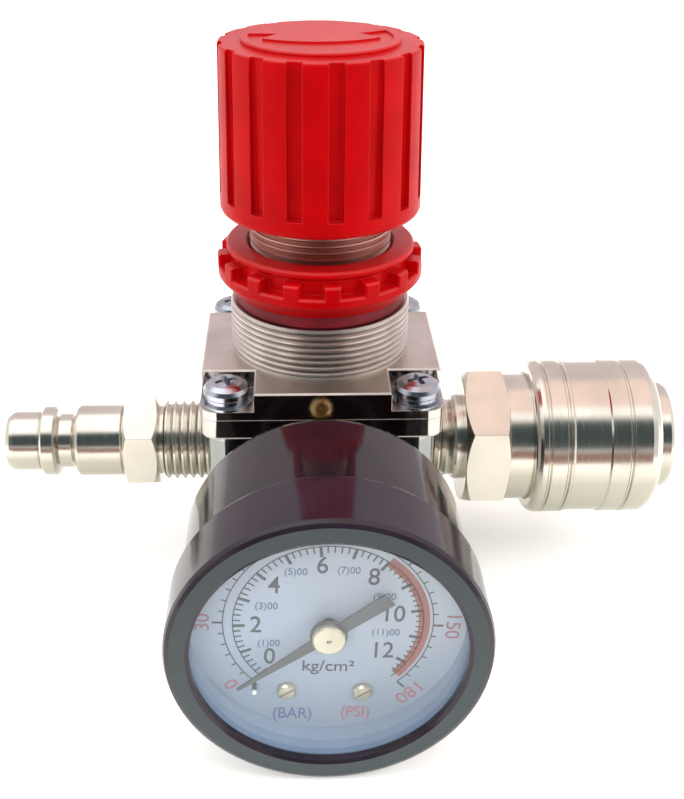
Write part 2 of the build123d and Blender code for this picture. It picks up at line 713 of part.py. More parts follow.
def make_sector_gear():
    """Brass sector that turns the pinion, with a tail for the link."""
    distance = gear_module * (pinion_teeth + sector_teeth) / 2
    half_tooth = 180 / sector_teeth
    wheel = Rot(0, 0, 90 + half_tooth) * gear_disc(sector_teeth, 43.0, 43.8)
    wheel -= rod(8.6, 40, 50)
    # At zero pressure the pinion stands near one end of the toothed arc.
    reach = 12
    wedge_corners = [(0, 0)]
    for angle in (90 - 42, 90 - 34, 90 - 12, 90 + 8):
        wedge_corners.append((reach * cos(radians(angle)), reach * sin(radians(angle))))
    wedge = extrude(Pos(0, 0, 42) * make_face(Polyline(*wedge_corners, close=True)), amount=3)
    arc = wheel & wedge
    arm = Rot(0, 0, 90 - 17) * Pos(4.4, 0, 43.4) * Box(9.0, 1.6, 0.8)
    tail = Rot(0, 0, -90 - 17) * Pos(1.8, 0, 43.4) * Box(3.6, 1.6, 0.8)
    hub = rod(1.1, 42.4, 44.4)
    shape = arc + arm + tail + hub - rod(0.5, 40, 50)
    return along_minus_y(Pos(0, -distance, 0) * shape)


def make_movement_frame():
    """Two brass plates on pillars that carry the arbor and the sector."""
    distance = gear_module * (pinion_teeth + sector_teeth) / 2
    plan = SlotCenterToCenter(distance, 6.0)
    upright = Pos(0, -distance / 2) * Rot(0, 0, 90) * plan
    back = extrude(Pos(0, 0, 40.9) * upright, amount=0.8)
    front = extrude(Pos(0, 0, 45.2) * upright, amount=0.8)
    pillar_places = ((-2.3, -11.9), (2.3, -11.9), (0, 2.2))
    pillars = [Pos(x, y, 0) * rod(0.5, 41.5, 45.4) for x, y in pillar_places]
    frame = back + front + pillars
    pivot = Pos(0, -distance, 0) * rod(0.42, 41.5, 45.4)
    foot = Pos(0, -distance / 2 + 1.0, 39.2) * Box(5, 6, 3.5)
    frame = frame + pivot + foot
    lugs = at_dial_screws(rod(1.3, 41.5, 46.5))
    bridge = Rot(0, 0, dial_turn) * Pos(0, dial_screw_y, 41.3) * Box(12.0, 2.0, 0.8)
    frame = frame + lugs + bridge
    holes = at_dial_screws(rod(0.72, 43.0, 50))
    return along_minus_y(frame - rod(0.66, 38.0, 50) - holes)


def make_bourdon_tube():
    """Flattened C-shaped tube from the socket round to its free tip."""
    tube_radius = 13.6
    arc = CenterArc((0, 0), tube_radius, -60, 290)
    path = Pos(0, 0, 34.0) * arc
    section = Plane(origin=path @ 0, z_dir=path % 0, x_dir=(0, 0, 1)) * Ellipse(3.0, 1.1)
    tube = sweep(section, path=path)
    stem = Rot(0, 0, -60) * Pos(9.0, 0, 34.0) * Box(9.6, 3.4, 6.4)
    return along_minus_y(tube + stem - block(holder_size, holder_size, 30.0, 37.4))


def make_gauge_socket():
    """Brass socket: G1/8 thread, square for the wrench, and the block inside the case."""
    thread = threaded_rod(inch_eighth_radius, inch_eighth_pitch, port_hole_end + 0.9, 18.3)
    square = rounded_block(11.0, 11.0, 1.0, 18.15, 24.2)
    collar = rod(6.4, 24.0, case_back - 0.02)
    inner = rod(4.55, case_back - 0.5, 30.5)
    holder = block(holder_size, holder_size, 30.0, 37.4)
    bore = rod(1.0, 5, 33)
    return along_minus_y(thread + square + collar + inner + holder - bore)


def make_case_screws():
    """Two brass screws that hold the case to the socket block from behind."""
    screw = turned([
        (case_back - 0.9, 0), (case_back - 0.9, 1.2), (case_back - 0.6, 1.6),
        (case_back - 0.01, 1.6), (case_back - 0.01, 0.8), (case_back + 1.6, 0.8),
        (case_back + 1.6, 0),
    ])
    screw -= Pos(0, 0, case_back - 1.0) * Box(4, 0.4, 0.8)
    places = (-case_screw_offset, case_screw_offset)
    return [along_minus_y(Pos(0, y, 0) * screw) for y in places]


# ---------------------------------------------------------------- write every sub-part
makers = {
    "knob": make_knob, "thrust_pin": make_thrust_pin, "spring_button": make_spring_button,
    "lock_ring": make_lock_ring, "lock_washer": make_lock_washer, "bonnet": make_bonnet,
    "bonnet_screws": make_screws, "spring_washers": make_spring_washers,
    "flat_washers": make_flat_washers, "main_spring": make_main_spring,
    "diaphragm": make_diaphragm, "diaphragm_plate": make_diaphragm_plate,
    "diaphragm_hub": make_diaphragm_hub, "regulator_body": make_regulator_body,
    "valve_seat": make_valve_seat, "valve_poppet": make_valve_poppet,
    "poppet_seal": make_poppet_seal, "valve_spring": make_valve_spring,
    "bottom_cap": make_bottom_cap, "cap_o_ring": make_cap_o_ring, "port_plug": make_port_plug,
    "inlet_plug": make_inlet_plug, "coupling_adapter": make_coupling_adapter,
    "coupling_barrel": make_coupling_barrel, "coupling_sleeve": make_coupling_sleeve,
    "snap_ring": make_snap_ring, "sleeve_spring": make_sleeve_spring,
    "coupler_valve": make_coupler_valve, "coupler_face_seal": make_coupler_face_seal,
    "coupler_valve_spring": make_coupler_valve_spring, "coupler_seal": make_coupler_seal,
    "gauge_case": make_gauge_case, "gauge_bezel": make_gauge_bezel, "gauge_lens": make_gauge_lens,
    "dial_spacer": make_dial_spacer, "gauge_dial": make_gauge_dial,
    "dial_screws": make_dial_screws, "stop_pin": make_stop_pin, "pointer": make_pointer,
    "pointer_hub": make_pointer_hub, "pointer_arbor": make_pointer_arbor,
    "sector_gear": make_sector_gear, "movement_frame": make_movement_frame,
    "bourdon_tube": make_bourdon_tube, "gauge_socket": make_gauge_socket,
    "case_screws": make_case_screws,
}
for node, maker in makers.items():
    keep(maker(), node)
for index in range(4):
    keep(make_ball(index), f"ball_{index + 1}")
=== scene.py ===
import json
import math

import bmesh
import bpy
from mathutils import Matrix, Vector


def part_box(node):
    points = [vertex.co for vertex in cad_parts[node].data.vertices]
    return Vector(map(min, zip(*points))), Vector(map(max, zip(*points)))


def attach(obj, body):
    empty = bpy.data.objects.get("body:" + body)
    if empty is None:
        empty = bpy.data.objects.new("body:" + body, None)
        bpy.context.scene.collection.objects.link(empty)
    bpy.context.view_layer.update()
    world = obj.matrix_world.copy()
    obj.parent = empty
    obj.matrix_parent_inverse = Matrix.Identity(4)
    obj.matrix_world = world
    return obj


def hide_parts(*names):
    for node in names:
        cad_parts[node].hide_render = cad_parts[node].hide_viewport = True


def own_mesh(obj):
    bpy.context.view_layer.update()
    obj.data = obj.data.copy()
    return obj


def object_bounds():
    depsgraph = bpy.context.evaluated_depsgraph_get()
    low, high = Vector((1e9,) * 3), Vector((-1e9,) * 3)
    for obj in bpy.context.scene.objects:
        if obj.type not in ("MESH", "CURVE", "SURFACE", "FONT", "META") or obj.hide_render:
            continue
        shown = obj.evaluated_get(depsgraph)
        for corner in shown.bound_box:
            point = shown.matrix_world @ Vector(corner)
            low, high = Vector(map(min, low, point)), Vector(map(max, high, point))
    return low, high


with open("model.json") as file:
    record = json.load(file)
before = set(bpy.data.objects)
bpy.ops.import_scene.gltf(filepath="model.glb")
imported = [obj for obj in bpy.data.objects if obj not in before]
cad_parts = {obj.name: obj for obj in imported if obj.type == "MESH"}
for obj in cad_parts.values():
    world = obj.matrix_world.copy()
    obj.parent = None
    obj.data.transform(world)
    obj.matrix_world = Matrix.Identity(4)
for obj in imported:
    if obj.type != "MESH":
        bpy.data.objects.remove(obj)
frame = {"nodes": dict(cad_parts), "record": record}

# Air pressure regulator: looks only. Every CAD node gets a procedural material and keeps its shape,
# but four springs are replaced by copies. The dial's print is modelled here, as thin
# slabs that ride on the housing.
# Metres, in the frame of the CAD model: knob axis along +Z, outlet along +X, gauge facing -Y.

MM = 0.001
cad_low, cad_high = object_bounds()
nodes = frame["nodes"]


# ---------------------------------------------------------------- camera
CAMERA_PLACE = Vector((-4.24, -164.81, 80.52)) * MM
CAMERA_YAW = -0.048        # radians, turned to the left
CAMERA_PITCH = 0.507       # radians, tilted down
CAMERA_ROLL = 0.014        # radians
CAMERA_LENS = 51.45        # millimetres on a 36 mm sensor


def make_camera():
    """Camera at the photographer's place."""
    data = bpy.data.cameras.new("camera")
    data.lens = CAMERA_LENS
    data.sensor_width = 36
    data.clip_start = 0.01
    data.clip_end = 20
    ahead = Vector((
        -math.sin(CAMERA_YAW) * math.cos(CAMERA_PITCH),
        math.cos(CAMERA_YAW) * math.cos(CAMERA_PITCH),
        -math.sin(CAMERA_PITCH),
    ))
    level_right = Vector((math.cos(CAMERA_YAW), math.sin(CAMERA_YAW), 0))
    level_up = level_right.cross(ahead)
    right = math.cos(CAMERA_ROLL) * level_right + math.sin(CAMERA_ROLL) * level_up
    up = math.cos(CAMERA_ROLL) * level_up - math.sin(CAMERA_ROLL) * level_right
    turn = Matrix((right, up, -ahead)).transposed()
    camera = bpy.data.objects.new("camera", data)
    camera.matrix_world = Matrix.Translation(CAMERA_PLACE) @ turn.to_4x4()
    bpy.context.collection.objects.link(camera)
    bpy.context.scene.camera = camera


# ---------------------------------------------------------------- node helpers
class Graph:
    """A node tree that is built by short calls."""

    def __init__(self, tree):
        self.tree = tree

    def add(self, kind, **values):
        """New node; values set its properties, or its inputs when the name is an input's."""
        node = self.tree.nodes.new(kind)
        for name, value in values.items():
            if name in node.inputs:
                self.feed(node.inputs[name], value)
            else:
                setattr(node, name, value)
        return node

    def feed(self, socket, value):
        """Link a socket to the input, or set its plain value."""
        if isinstance(value, bpy.types.NodeSocket):
            self.tree.links.new(value, socket)
        else:
            socket.default_value = value

    def math(self, operation, first, second=0.0, third=0.0):
        node = self.tree.nodes.new("ShaderNodeMath")
        node.operation = operation
        for socket, value in zip(node.inputs, (first, second, third)):
            self.feed(socket, value)
        return node.outputs[0]

    def spread(self, value, low, high, from_low=0.0, from_high=1.0):
        """Map a value from one range to another."""
        node = self.add("ShaderNodeMapRange")
        for socket, item in zip(node.inputs, (value, from_low, from_high, low, high)):
            self.feed(socket, item)
        return node.outputs[0]

    def blend(self, share, first, second):
        """Mix two colours."""
        node = self.add("ShaderNodeMix", data_type="RGBA")
        self.feed(node.inputs[0], share)
        self.feed(node.inputs[6], first)
        self.feed(node.inputs[7], second)
        return node.outputs[2]

    def noise(self, place, scale, detail=2.0, roughness=0.5):
        node = self.add("ShaderNodeTexNoise", Scale=scale, Detail=detail, Roughness=roughness)
        self.feed(node.inputs["Vector"], place)
        return node.outputs["Fac"]


def rgba(red, green, blue, alpha=1.0):
    return (red, green, blue, alpha)


def new_material(name):
    """Material with a Principled shader; returns it, its graph and the shader."""
    material = bpy.data.materials.new(name)
    material.use_nodes = True
    material.node_tree.nodes.clear()
    graph = Graph(material.node_tree)
    shader = graph.add("ShaderNodeBsdfPrincipled")
    output = graph.add("ShaderNodeOutputMaterial")
    graph.feed(output.inputs["Surface"], shader.outputs[0])
    return material, graph, shader


def place_of(graph, stretch=(1, 1, 1)):
    """Object coordinates, stretched along the axes."""
    coordinates = graph.add("ShaderNodeTexCoord")
    mapping = graph.add("ShaderNodeMapping", Scale=stretch)
    graph.feed(mapping.inputs["Vector"], coordinates.outputs["Object"])
    return mapping.outputs[0]


def round_edges(graph, radius):
    """Normal that is rounded at the edges, and a mask that is 1 where an edge is near."""
    rounded = graph.add("ShaderNodeBevel", samples=4, Radius=radius).outputs[0]
    plain = graph.add("ShaderNodeNewGeometry").outputs["Normal"]
    likeness = graph.add("ShaderNodeVectorMath", operation="DOT_PRODUCT")
    graph.feed(likeness.inputs[0], rounded)
    graph.feed(likeness.inputs[1], plain)
    edge = graph.spread(likeness.outputs["Value"], 1.0, 0.0, 0.75, 0.99)
    return rounded, edge


def surface(name, colour, second_colour, metallic, rough, rough_change, grain, grain_depth,
            stretch=(1, 1, 1), specular=0.5, edge_radius=0.0, edge_highlight_colour=None):
    """General finish: two close tints in patches, uneven roughness, a fine grain and a painted highlight
    on the edges.
    """
    material, graph, shader = new_material(name)
    even_place = place_of(graph)
    grain_place = place_of(graph, stretch)
    patch_scale = 140.0
    patches = graph.noise(even_place, patch_scale, 3.0)
    fine = graph.noise(grain_place, grain, 3.0, 0.6)
    share = graph.spread(patches, 0.0, 1.0, 0.35, 0.65)
    tint = graph.blend(share, rgba(*colour), rgba(*second_colour))
    bump = graph.add("ShaderNodeBump", Strength=1.0, Distance=grain_depth)
    if edge_radius:
        rounded, edge = round_edges(graph, edge_radius)
        graph.feed(bump.inputs["Normal"], rounded)
        # Painted highlight: near the edges the colour turns lighter, in patches.
        if edge_highlight_colour:
            edge_highlight_share = graph.math("MULTIPLY", edge, graph.spread(patches, 0.3, 1.0, 0.3, 0.6))
            tint = graph.blend(edge_highlight_share, tint, rgba(*edge_highlight_colour))
    graph.feed(shader.inputs["Base Color"], tint)
    both = graph.math("MULTIPLY_ADD", fine, 0.6, graph.math("MULTIPLY", patches, 0.4))
    low, high = rough - rough_change, rough + rough_change
    graph.feed(shader.inputs["Roughness"], graph.spread(both, low, high, 0.3, 0.7))
    shader.inputs["Metallic"].default_value = metallic
    shader.inputs["Specular IOR Level"].default_value = specular
    graph.feed(bump.inputs["Height"], fine)
    graph.feed(shader.inputs["Normal"], bump.outputs[0])
    return material


# ---------------------------------------------------------------- materials
ALONG_X = (1, 0.04, 0.04)      # grain of parts turned about X and Y
ALONG_Y = (0.04, 1, 0.04)

finishes = {
    "red_fibre": surface("red_fibre", (0.22, 0.012, 0.020), (0.12, 0.008, 0.012), 0.0, 0.6, 0.1,
                         2500.0, 2e-5, specular=0.3),
    # pale_brass: its lighter edge colour is a painted highlight.
    "pale_brass": surface("pale_brass", (0.78, 0.72, 0.55), (0.66, 0.60, 0.44), 1.0, 0.36, 0.07,
                          2500.0, 5e-6, edge_radius=0.1 * MM, edge_highlight_colour=(0.95, 0.92, 0.80)),
    # Darker brass for the Bourdon tube and the diaphragm hub.
    "dark_brass": surface("dark_brass", (0.30, 0.23, 0.12), (0.16, 0.12, 0.06), 1.0, 0.34, 0.08,
                          1500.0, 6e-6, edge_radius=0.1 * MM),
    "zinc_screw": surface("zinc_screw", (0.62, 0.64, 0.70), (0.42, 0.44, 0.50), 1.0, 0.24, 0.08,
                          1600.0, 8e-6, edge_radius=0.12 * MM),
    "spring_steel": surface("spring_steel", (0.36, 0.35, 0.34), (0.26, 0.25, 0.25), 1.0, 0.35, 0.1,
                            1500.0, 5e-6),
    "steel": surface("steel", (0.56, 0.56, 0.57), (0.48, 0.48, 0.50), 1.0, 0.2, 0.05,
                     2500.0, 3e-6),
    "brass": surface("brass", (0.84, 0.66, 0.36), (0.76, 0.58, 0.29), 1.0, 0.34, 0.07,
                     3000.0, 4e-6, stretch=ALONG_Y, edge_radius=0.1 * MM),
    "aluminium": surface("aluminium", (0.75, 0.75, 0.76), (0.68, 0.68, 0.69), 1.0, 0.4, 0.08,
                         2500.0, 6e-6),
    "black_rubber": surface("black_rubber", (0.02, 0.02, 0.02), (0.03, 0.03, 0.03), 0.0, 0.6, 0.1,
                            1800.0, 1e-5),
    "black_enamel": surface("black_enamel", (0.010, 0.007, 0.010), (0.016, 0.011, 0.015), 0.0, 0.10,
                            0.04, 700.0, 5e-6, specular=0.5, edge_radius=0.2 * MM),
    "pale_ring": surface("pale_ring", (0.25, 0.32, 0.42), (0.28, 0.35, 0.45), 0.0, 0.5, 0.05,
                         900.0, 4e-6),
    "pointer_black": surface("pointer_black", (0.070, 0.076, 0.078), (0.09, 0.095, 0.10), 0.0, 0.42,
                             0.06, 2500.0, 4e-6),
}


def share_of_normal(graph, axis, start, end):
    """0 to 1 as one component of the surface's direction goes from start to end."""
    parts = graph.add("ShaderNodeSeparateXYZ")
    graph.feed(parts.inputs[0], graph.add("ShaderNodeNewGeometry").outputs["Normal"])
    return graph.spread(parts.outputs[axis], 0.0, 1.0, start, end)


def first_shader(graph):
    """The graph's Principled shader."""
    return [node for node in graph.tree.nodes if node.type == "BSDF_PRINCIPLED"][0]


def make_red_plastic():
    """Deep red plastic: a dull sheen on top, clear red on the upright faces."""
    # The lighter red given for the edges is a painted highlight on the rib edges.
    material = surface("red_abs", (0.52, 0.0010, 0.0030), (0.43, 0.0008, 0.0022), 0.0, 0.34, 0.05,
                       1400.0, 4e-6, edge_radius=0.25 * MM, edge_highlight_colour=(0.75, 0.030, 0.030))
    graph = Graph(material.node_tree)
    sheen = share_of_normal(graph, 2, 0.3, 0.9)
    graph.feed(first_shader(graph).inputs["Specular IOR Level"], graph.spread(sheen, 0.07, 0.62))
    return material


def make_bright_nickel():
    """Turned nickel with fine rings, a painted highlight on the edges, and painted shade that makes the
    underside darker and warmer.
    """
    material = surface("bright_nickel", (0.80, 0.76, 0.68), (0.70, 0.66, 0.59), 1.0, 0.20, 0.06,
                       3500.0, 2.5e-6, stretch=ALONG_X, edge_radius=0.12 * MM,
                       edge_highlight_colour=(0.92, 0.90, 0.86))
    graph = Graph(material.node_tree)
    shader = first_shader(graph)
    unshaded_tint = shader.inputs["Base Color"].links[0].from_socket
    # Painted shade: faces that look down get a darker, warmer tint.
    underside_shade = graph.math("MULTIPLY", share_of_normal(graph, 2, 0.2, -0.15), 0.9)
    graph.feed(shader.inputs["Base Color"], graph.blend(underside_shade, unshaded_tint, rgba(0.43, 0.42, 0.34)))
    return material


def make_body_chrome():
    """Bright chrome on the flange, darker on the block in its shade."""
    material = surface("body_chrome", (0.62, 0.60, 0.56), (0.55, 0.53, 0.50), 1.0, 0.07, 0.03,
                       500.0, 5e-6, edge_radius=0.2 * MM)
    graph = Graph(material.node_tree)
    shader = first_shader(graph)
    bright = shader.inputs["Base Color"].links[0].from_socket
    parts = graph.add("ShaderNodeSeparateXYZ")
    graph.feed(parts.inputs[0], place_of(graph))
    flange_end, block_start = -8.0 * MM, -8.6 * MM
    shade = graph.spread(parts.outputs[2], 0.0, 1.0, flange_end, block_start)
    tint = graph.blend(shade, bright, rgba(0.31, 0.33, 0.32))
    graph.feed(shader.inputs["Base Color"], tint)
    return material


def make_cast_nickel():
    """Satin nickel with ground upright faces at the plate's rim, a painted highlight on the edges,
    painted shade in the thread roots and a painted red-brown reflection of the knob on the upper neck.
    """
    name, plate_rim = "cast_nickel", 14.3 * MM
    thread_crest, thread_root = 13.9 * MM, 13.4 * MM
    upper_neck = 11.0 * MM
    material = surface(name, (0.74, 0.67, 0.62), (0.62, 0.56, 0.52), 1.0, 0.34, 0.08, 2600.0, 9e-6,
                       edge_radius=0.12 * MM, edge_highlight_colour=(0.95, 0.92, 0.88))
    graph = Graph(material.node_tree)
    shader = first_shader(graph)
    satin = shader.inputs["Roughness"].links[0].from_socket
    parts = graph.add("ShaderNodeSeparateXYZ")
    graph.feed(parts.inputs[0], place_of(graph))
    across = graph.math("POWER", parts.outputs[0], 2.0)
    along = graph.math("POWER", parts.outputs[1], 2.0)
    radius = graph.math("SQRT", graph.math("ADD", across, along))
    outside = graph.math("GREATER_THAN", radius, plate_rim)
    upright = share_of_normal(graph, 2, 0.6, 0.2)
    ground = graph.math("MULTIPLY", upright, outside)
    gloss = graph.math("MULTIPLY", satin, graph.spread(ground, 1.0, 0.25))
    graph.feed(shader.inputs["Roughness"], gloss)
    # Painted shade in the thread roots: the deeper, the darker.
    root = graph.spread(radius, 0.0, 1.0, thread_crest, thread_root)
    inside = graph.math("LESS_THAN", radius, thread_crest + 0.1 * MM)
    root_shade = graph.math("MULTIPLY", graph.math("MULTIPLY", root, inside), upright)
    satin_tint = shader.inputs["Base Color"].links[0].from_socket
    root_shaded_tint = graph.blend(root_shade, satin_tint, rgba(0.12, 0.10, 0.085))
    # Painted reflection of the red knob: the narrow upper neck gets a red-brown tint.
    narrow = graph.math("LESS_THAN", radius, upper_neck)
    tint = graph.blend(narrow, root_shaded_tint, rgba(0.52, 0.30, 0.26))
    graph.feed(shader.inputs["Base Color"], tint)
    return material


def make_bezel_finish():
    """Black enamel: glossy and purplish round the side, grey-green and duller on the front."""
    material = surface("bezel_enamel", (0.016, 0.011, 0.018), (0.022, 0.015, 0.024), 0.0, 0.13, 0.04,
                       900.0, 5e-6, specular=0.42, edge_radius=0.2 * MM)
    graph = Graph(material.node_tree)
    shader = first_shader(graph)
    side_tint = shader.inputs["Base Color"].links[0].from_socket
    side_gloss = shader.inputs["Roughness"].links[0].from_socket
    front = share_of_normal(graph, 1, -0.90, -0.985)
    tint = graph.blend(front, side_tint, rgba(0.040, 0.054, 0.060))
    graph.feed(shader.inputs["Base Color"], tint)
    dull = graph.math("ADD", side_gloss, graph.math("MULTIPLY", front, 0.26))
    graph.feed(shader.inputs["Roughness"], dull)
    return material


def make_pin_finish():
    """Pin with a white painted tip towards the front; the rest is near-black, painted shade for the pin's
    side.
    """
    tip_length = 0.35 * MM
    material, graph, shader = new_material("white_paint")
    parts = graph.add("ShaderNodeSeparateXYZ")
    graph.feed(parts.inputs[0], place_of(graph))
    tip_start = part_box("stop_pin")[0].y + tip_length
    tip = graph.math("LESS_THAN", parts.outputs[1], tip_start)
    fleck = graph.noise(place_of(graph), 3000.0)
    white = graph.blend(fleck, rgba(0.95, 0.95, 0.95), rgba(0.80, 0.80, 0.82))
    # The shank's near-black is painted shade; the white tip is the pin's paint.
    graph.feed(shader.inputs["Base Color"], graph.blend(tip, rgba(0.05, 0.055, 0.06), white))
    graph.feed(shader.inputs["Roughness"], graph.spread(fleck, 0.3, 0.5))
    return material


def make_dial_finish():
    """Pale blue printed face, with painted light that makes it whiter at the upper right and painted
    shade that makes it darker towards the bottom.
    """
    shade_from, shade_to = -20 * MM, -34 * MM
    slant_from, slant_to = -45 * MM, 0.0
    material, graph, shader = new_material("dial_print")
    place = place_of(graph)
    parts = graph.add("ShaderNodeSeparateXYZ")
    graph.feed(parts.inputs[0], place)
    # Painted light: the face gets whiter towards the upper right.
    slant = graph.math("ADD", parts.outputs[0], parts.outputs[2])
    share = graph.spread(slant, 0.0, 1.0, slant_from, slant_to)
    lit_face = graph.blend(share, rgba(0.37, 0.44, 0.54), rgba(0.46, 0.50, 0.54))
    # Painted shade: the face gets darker towards the bottom.
    low = graph.spread(parts.outputs[2], 0.0, 1.0, shade_from, shade_to)
    colour = graph.blend(low, lit_face, rgba(0.27, 0.32, 0.385))
    graph.feed(shader.inputs["Base Color"], colour)
    shader.inputs["Roughness"].default_value = 0.45
    speckle = graph.noise(place, 3000.0)
    bump = graph.add("ShaderNodeBump", Strength=1.0, Distance=2e-6)
    graph.feed(bump.inputs["Height"], speckle)
    graph.feed(shader.inputs["Normal"], bump.outputs[0])
    return material


def make_lens_finish():
    """Clear lens that lets lamp light through."""
    material, graph, shader = new_material("lens")
    shader.inputs["Base Color"].default_value = rgba(0.95, 0.98, 1.0)
    shader.inputs["Transmission Weight"].default_value = 1.0
    shader.inputs["IOR"].default_value = 1.47
    smears = graph.noise(place_of(graph), 120.0, 4.0)
    graph.feed(shader.inputs["Roughness"], graph.spread(smears, 0.0, 0.02, 0.4, 0.8))
    clear = graph.add("ShaderNodeBsdfTransparent", Color=rgba(0.95, 0.97, 1.0))
    path = graph.add("ShaderNodeLightPath")
    either = graph.add("ShaderNodeMixShader")
    output = [node for node in material.node_tree.nodes if node.type == "OUTPUT_MATERIAL"][0]
    graph.feed(either.inputs[0], path.outputs["Is Shadow Ray"])
    graph.feed(either.inputs[1], shader.outputs[0])
    graph.feed(either.inputs[2], clear.outputs[0])
    graph.feed(output.inputs["Surface"], either.outputs[0])
    return material


def ink(name, colour):
    """Printing ink."""
    return surface(name, colour, tuple(0.9 * part for part in colour), 0.0, 0.45, 0.05, 3000.0, 1e-6)


finishes["red_abs"] = make_red_plastic()
finishes["bright_nickel"] = make_bright_nickel()
finishes["body_chrome"] = make_body_chrome()
finishes["cast_nickel"] = make_cast_nickel()
finishes["bezel_enamel"] = make_bezel_finish()
finishes["white_paint"] = make_pin_finish()
finishes["dial_print"] = make_dial_finish()
finishes["lens"] = make_lens_finish()
dark_ink = ink("dark_ink", (0.050, 0.058, 0.068))
red_ink = ink("red_ink", (0.42, 0.15, 0.17))
band_ink = ink("band_ink", (0.38, 0.11, 0.085))
blue_ink = ink("blue_ink", (0.09, 0.13, 0.27))


def dress_nodes():
    """Give each CAD node the finish of its record slot, and four brass nodes a tone of their own."""
    slots = {item["node"]: item["material_slot"] for item in frame["record"]["subparts"]}
    tones = {
        "pointer_hub": "pale_brass", "dial_screws": "pale_brass",
        "bourdon_tube": "dark_brass", "diaphragm_hub": "dark_brass",
    }
    for name, thing in nodes.items():
        thing.data.materials.clear()
        thing.data.materials.append(finishes[tones.get(name, slots[name])])


# ---------------------------------------------------------------- new pieces
def add_piece(name, mesh, finish, body):
    """Link a mesh as a piece that rides on a body."""
    thing = bpy.data.objects.new(name, mesh)
    bpy.context.collection.objects.link(thing)
    mesh.materials.append(finish)
    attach(thing, body)
    return thing


def mesh_of(name, builder):
    """Mesh made by a function that fills a bmesh."""
    work = bmesh.new()
    builder(work)
    bmesh.ops.recalc_face_normals(work, faces=work.faces)
    mesh = bpy.data.meshes.new(name)
    work.to_mesh(mesh)
    work.free()
    return mesh


# ---------------------------------------------------------------- springs
def make_springs():
    """Copies of the CAD springs, which ride on the housing, in place of the hidden CAD springs."""
    upright, along = (0, 0, 1), (1, 0, 0)
    for name, joint, axis, travel in (
        ("main_spring", "knob_travel", upright, 3.5 * MM),
        ("valve_spring", "valve_lift", upright, 1.2 * MM),
        ("sleeve_spring", "sleeve_slide", along, 3.5 * MM),
        ("coupler_valve_spring", "check_valve_open", along, 4.0 * MM),
    ):
        mesh = nodes[name].data.copy()
        mesh.transform(nodes[name].matrix_world)
        mesh.materials.clear()
        wire = add_piece(name + "_wire", mesh, finishes["spring_steel"], "housing")
        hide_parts(name)
        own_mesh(wire)


# ---------------------------------------------------------------- dial
gauge_low, gauge_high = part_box("gauge_dial")
DIAL_CENTRE = (gauge_low + gauge_high) / 2
DIAL_FACE = gauge_low.y
PRINT_LIFT = 0.03 * MM
PRINT_THICK = 0.03 * MM
DIAL_TURN = -2.3             # degrees
ZERO_ANGLE = -135.0
SWEEP = 270.0
PSI_END = 180.0
PSI_PER_KILO = 14.22         # one kg/cm2
INNER_ARC = 12.6             # radii of the printed arcs, in millimetres
OUTER_ARC = 13.9
LINE = 0.15                  # width of a thin printed line


def on_dial(radius, angle, lift=0.0):
    """Point on the dial face; radius in millimetres, angle in degrees from +X towards +Z."""
    turned = math.radians(angle + DIAL_TURN)
    x = DIAL_CENTRE.x + radius * MM * math.cos(turned)
    z = DIAL_CENTRE.z + radius * MM * math.sin(turned)
    return Vector((x, DIAL_FACE - lift, z))


def psi_angle(psi):
    """Angle of a pressure on the dial, before the dial's turn."""
    return ZERO_ANGLE - SWEEP * psi / PSI_END


def kilo_angle(kilo):
    return psi_angle(kilo * PSI_PER_KILO)


def add_slab(work, outline):
    """Closed thin slab on the dial; outline is a list of (radius, angle)."""
    front = [work.verts.new(on_dial(r, a, PRINT_LIFT + PRINT_THICK)) for r, a in outline]
    back = [work.verts.new(on_dial(r, a, PRINT_LIFT)) for r, a in outline]
    work.faces.new(front)
    work.faces.new(list(reversed(back)))
    count = len(outline)
    for index in range(count):
        after = (index + 1) % count
        work.faces.new((front[index], back[index], back[after], front[after]))


def add_arc(work, inner, outer, start, end, steps=90):
    """Printed arc band as short slabs joined edge to edge."""
    rings = []
    for index in range(steps + 1):
        angle = start + (end - start) * index / steps
        rings.append([
            work.verts.new(on_dial(inner, angle, PRINT_LIFT)),
            work.verts.new(on_dial(outer, angle, PRINT_LIFT)),
            work.verts.new(on_dial(outer, angle, PRINT_LIFT + PRINT_THICK)),
            work.verts.new(on_dial(inner, angle, PRINT_LIFT + PRINT_THICK)),
        ])
    for first, second in zip(rings, rings[1:]):
        for corner in range(4):
            after = (corner + 1) % 4
            work.faces.new((first[corner], first[after], second[after], second[corner]))
    work.faces.new(rings[0])
    work.faces.new(list(reversed(rings[-1])))


def add_tick(work, inner, outer, angle, width):
    """Printed tick; width in millimetres."""
    half_in = math.degrees(width / 2 / inner)
    half_out = math.degrees(width / 2 / outer)
    add_slab(work, [
        (inner, angle - half_in), (outer, angle - half_out),
        (outer, angle + half_out), (inner, angle + half_in),
    ])


def print_scales(work):
    """Two arcs, a row of dark ticks inside, in kg/cm2, and a row outside, in psi."""
    kilo_ticks, ticks_per_kilo = 63, 5
    psi_step, bold_psi_step = 5, 30
    start, end = psi_angle(0), psi_angle(PSI_END)
    for radius in (INNER_ARC, OUTER_ARC):
        add_arc(work, radius - LINE / 2, radius + LINE / 2, start, end)
    for step in range(kilo_ticks):
        bold = step % ticks_per_kilo == 0
        inner = INNER_ARC - (1.6 if bold else 1.0)
        add_tick(work, inner, INNER_ARC, kilo_angle(step / ticks_per_kilo), 0.42 if bold else 0.2)
    for psi in range(0, int(PSI_END) + 1, psi_step):
        bold = psi % bold_psi_step == 0
        outer = OUTER_ARC + (1.4 if bold else 0.7)
        width = 0.5 if psi == 0 else 0.3 if bold else 0.18
        add_tick(work, OUTER_ARC, outer, psi_angle(psi), width)


def print_band(work):
    """Red band over the arcs in the upper part of the scale."""
    inner, outer = 11.95, 13.45
    add_arc(work, inner, outer, kilo_angle(8.0), kilo_angle(12.5))


